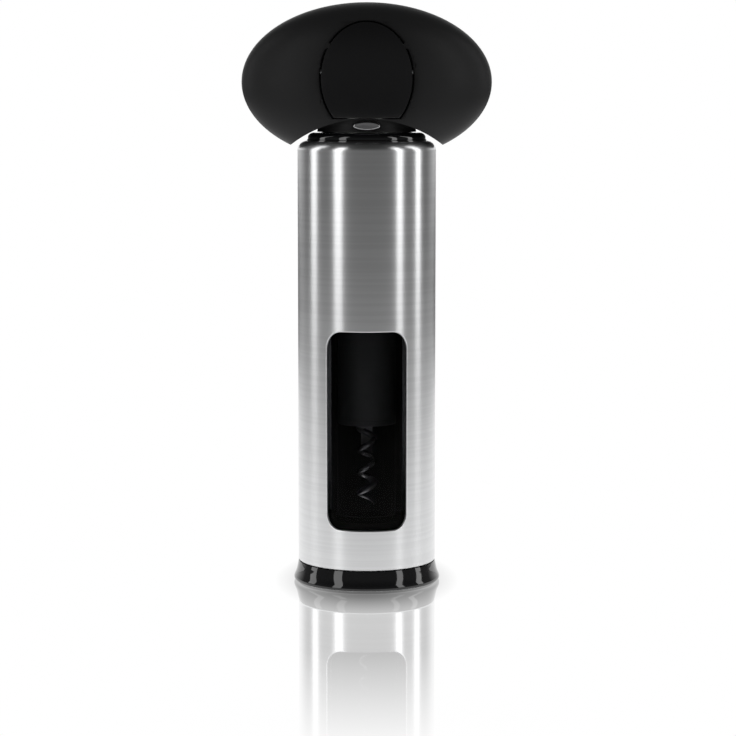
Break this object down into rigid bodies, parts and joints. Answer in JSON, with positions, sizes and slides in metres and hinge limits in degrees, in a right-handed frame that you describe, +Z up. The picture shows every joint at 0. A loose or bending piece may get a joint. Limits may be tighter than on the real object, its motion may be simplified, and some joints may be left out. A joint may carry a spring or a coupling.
{
  "type": "electric wine opener",
  "caption": "Upright cordless corkscrew: brushed steel barrel with a smoked window onto the worm, flared base and a wide winged handle with a rocker pad.",
  "frame": {"origin": "centre of the underside, on the surface it stands on", "axes": "+Z up along the barrel, -Y toward the window and the rocker pad, +X to the right seen from the front"},
  "size_m": [0.0974, 0.0578, 0.2272],
  "materials": {
    "brushed_steel": "horizontally brushed",
    "polished_chrome": "polished",
    "screw_steel": "turned",
    "worm_steel": "smooth",
    "motor_steel": "plated",
    "brass": "turned",
    "gloss_black": "glossy",
    "soft_black": "satin",
    "inner_black": "matte",
    "cage_grey": "satin",
    "smoked_window": "smoked clear plastic",
    "rubber": "soft",
    "acetal": "smooth",
    "gear_nylon": "smooth",
    "magnet": "pressed",
    "board_green": "satin",
    "cell_wrap": "printed shrink wrap over steel"
  },
  "bodies": {
    "housing": {"base_ring": "gloss_black", "base_screw_1": "screw_steel", "base_screw_2": "screw_steel", "base_screw_3": "screw_steel", "battery_cell_1": "cell_wrap", "battery_cell_2": "cell_wrap", "battery_cell_3": "cell_wrap", "battery_cell_4": "cell_wrap", "battery_tray_lower": "inner_black", "battery_tray_upper": "inner_black", "bottle_guide": "inner_black", "chassis_tube": "inner_black", "dc_jack": "inner_black", "dc_jack_pin": "brass", "foot_ring": "rubber", "gearbox_bottom_plate": "inner_black", "handle_front_shell": "soft_black", "handle_rear_shell": "soft_black", "handle_screw_left": "screw_steel", "handle_screw_right": "screw_steel", "indicator_bezel": "polished_chrome", "lip_pad_ring": "rubber", "motor_can": "motor_steel", "motor_end_bell": "inner_black", "motor_magnet_left": "magnet", "motor_magnet_right": "magnet", "motor_plate": "motor_steel", "motor_screw_1": "screw_steel", "motor_screw_2": "screw_steel", "output_bush": "brass", "ring_gear": "inner_black", "rocker_pin": "screw_steel", "steel_sleeve": "brushed_steel", "switch_board": "board_green", "switch_down": "inner_black", "switch_up": "inner_black", "top_cap": "gloss_black", "window_lens": "smoked_window"},
    "cage": {"cork_cage": "cage_grey", "cage_drag_ring": "rubber", "worm_washer_lower": "acetal", "worm_washer_upper": "acetal"},
    "worm_unit": {"worm": "worm_steel", "worm_head": "worm_steel"},
    "spindle": {"drive_spindle": "worm_steel", "output_carrier": "motor_steel"},
    "first_stage": {"first_carrier": "motor_steel"},
    "rotor": {"motor_rotor": "motor_steel", "motor_pinion": "brass"},
    "rocker": {"rocker_pad": "gloss_black"},
    "plunger_up_body": {"plunger_up": "rubber"},
    "plunger_down_body": {"plunger_down": "rubber"},
    "planet_1_a_body": {"planet_1_a": "gear_nylon"},
    "planet_1_b_body": {"planet_1_b": "gear_nylon"},
    "planet_1_c_body": {"planet_1_c": "gear_nylon"},
    "planet_2_a_body": {"planet_2_a": "gear_nylon"},
    "planet_2_b_body": {"planet_2_b": "gear_nylon"},
    "planet_2_c_body": {"planet_2_c": "gear_nylon"}
  },
  "joints": [
    {"name": "spindle_spin", "type": "hinge", "parent": "housing", "child": "spindle", "pos_m": [0, 0, 0.157], "axis": [0, 0, 1], "continuous": true},
    {"name": "first_carrier_spin", "type": "hinge", "parent": "housing", "child": "first_stage", "pos_m": [0, 0, 0.166], "axis": [0, 0, 1], "continuous": true},
    {"name": "rotor_spin", "type": "hinge", "parent": "housing", "child": "rotor", "pos_m": [0, 0, 0.19], "axis": [0, 0, 1], "continuous": true},
    {"name": "cage_slide", "type": "slide", "parent": "housing", "child": "cage", "axis": [0, 0, -1], "range_m": [0, 0.0426]},
    {"name": "worm_spin", "type": "hinge", "parent": "cage", "child": "worm_unit", "pos_m": [0, 0, 0.1], "axis": [0, 0, 1], "continuous": true},
    {"name": "rocker_tilt", "type": "hinge", "parent": "housing", "child": "rocker", "pos_m": [0, -0.0169, 0.2004], "axis": [1, 0, 0], "range_deg": [-3, 3], "stiffness_Nm_per_rad": 0.35},
    {"name": "plunger_up_slide", "type": "slide", "parent": "housing", "child": "plunger_up_body", "axis": [0, 1, 0], "range_m": [-0.00058, 0.00058]},
    {"name": "plunger_down_slide", "type": "slide", "parent": "housing", "child": "plunger_down_body", "axis": [0, 1, 0], "range_m": [-0.00058, 0.00058]},
    {"name": "planet_2_a_spin", "type": "hinge", "parent": "spindle", "child": "planet_2_a_body", "pos_m": [0.009, 0, 0.161], "axis": [0, 0, 1], "continuous": true},
    {"name": "planet_2_b_spin", "type": "hinge", "parent": "spindle", "child": "planet_2_b_body", "pos_m": [-0.0045, 0.00779, 0.161], "axis": [0, 0, 1], "continuous": true},
    {"name": "planet_2_c_spin", "type": "hinge", "parent": "spindle", "child": "planet_2_c_body", "pos_m": [-0.0045, -0.00779, 0.161], "axis": [0, 0, 1], "continuous": true},
    {"name": "planet_1_a_spin", "type": "hinge", "parent": "first_stage", "child": "planet_1_a_body", "pos_m": [0.009, 0, 0.17], "axis": [0, 0, 1], "continuous": true},
    {"name": "planet_1_b_spin", "type": "hinge", "parent": "first_stage", "child": "planet_1_b_body", "pos_m": [-0.0045, 0.00779, 0.17], "axis": [0, 0, 1], "continuous": true},
    {"name": "planet_1_c_spin", "type": "hinge", "parent": "first_stage", "child": "planet_1_c_body", "pos_m": [-0.0045, -0.00779, 0.17], "axis": [0, 0, 1], "continuous": true}
  ],
  "couplings": [
    {"joint": "first_carrier_spin", "follows": "spindle_spin", "ratio": 6.6667},
    {"joint": "rotor_spin", "follows": "spindle_spin", "ratio": 44.444},
    {"joint": "worm_spin", "follows": "spindle_spin", "ratio": 1},
    {"joint": "plunger_up_slide", "follows": "rocker_tilt", "m_per_rad": -0.011},
    {"joint": "plunger_down_slide", "follows": "rocker_tilt", "m_per_rad": 0.011},
    {"joint": "planet_2_a_spin", "follows": "spindle_spin", "ratio": -2.4286},
    {"joint": "planet_2_b_spin", "follows": "spindle_spin", "ratio": -2.4286},
    {"joint": "planet_2_c_spin", "follows": "spindle_spin", "ratio": -2.4286},
    {"joint": "planet_1_a_spin", "follows": "spindle_spin", "ratio": -16.19},
    {"joint": "planet_1_b_spin", "follows": "spindle_spin", "ratio": -16.19},
    {"joint": "planet_1_c_spin", "follows": "spindle_spin", "ratio": -16.19}
  ]
}
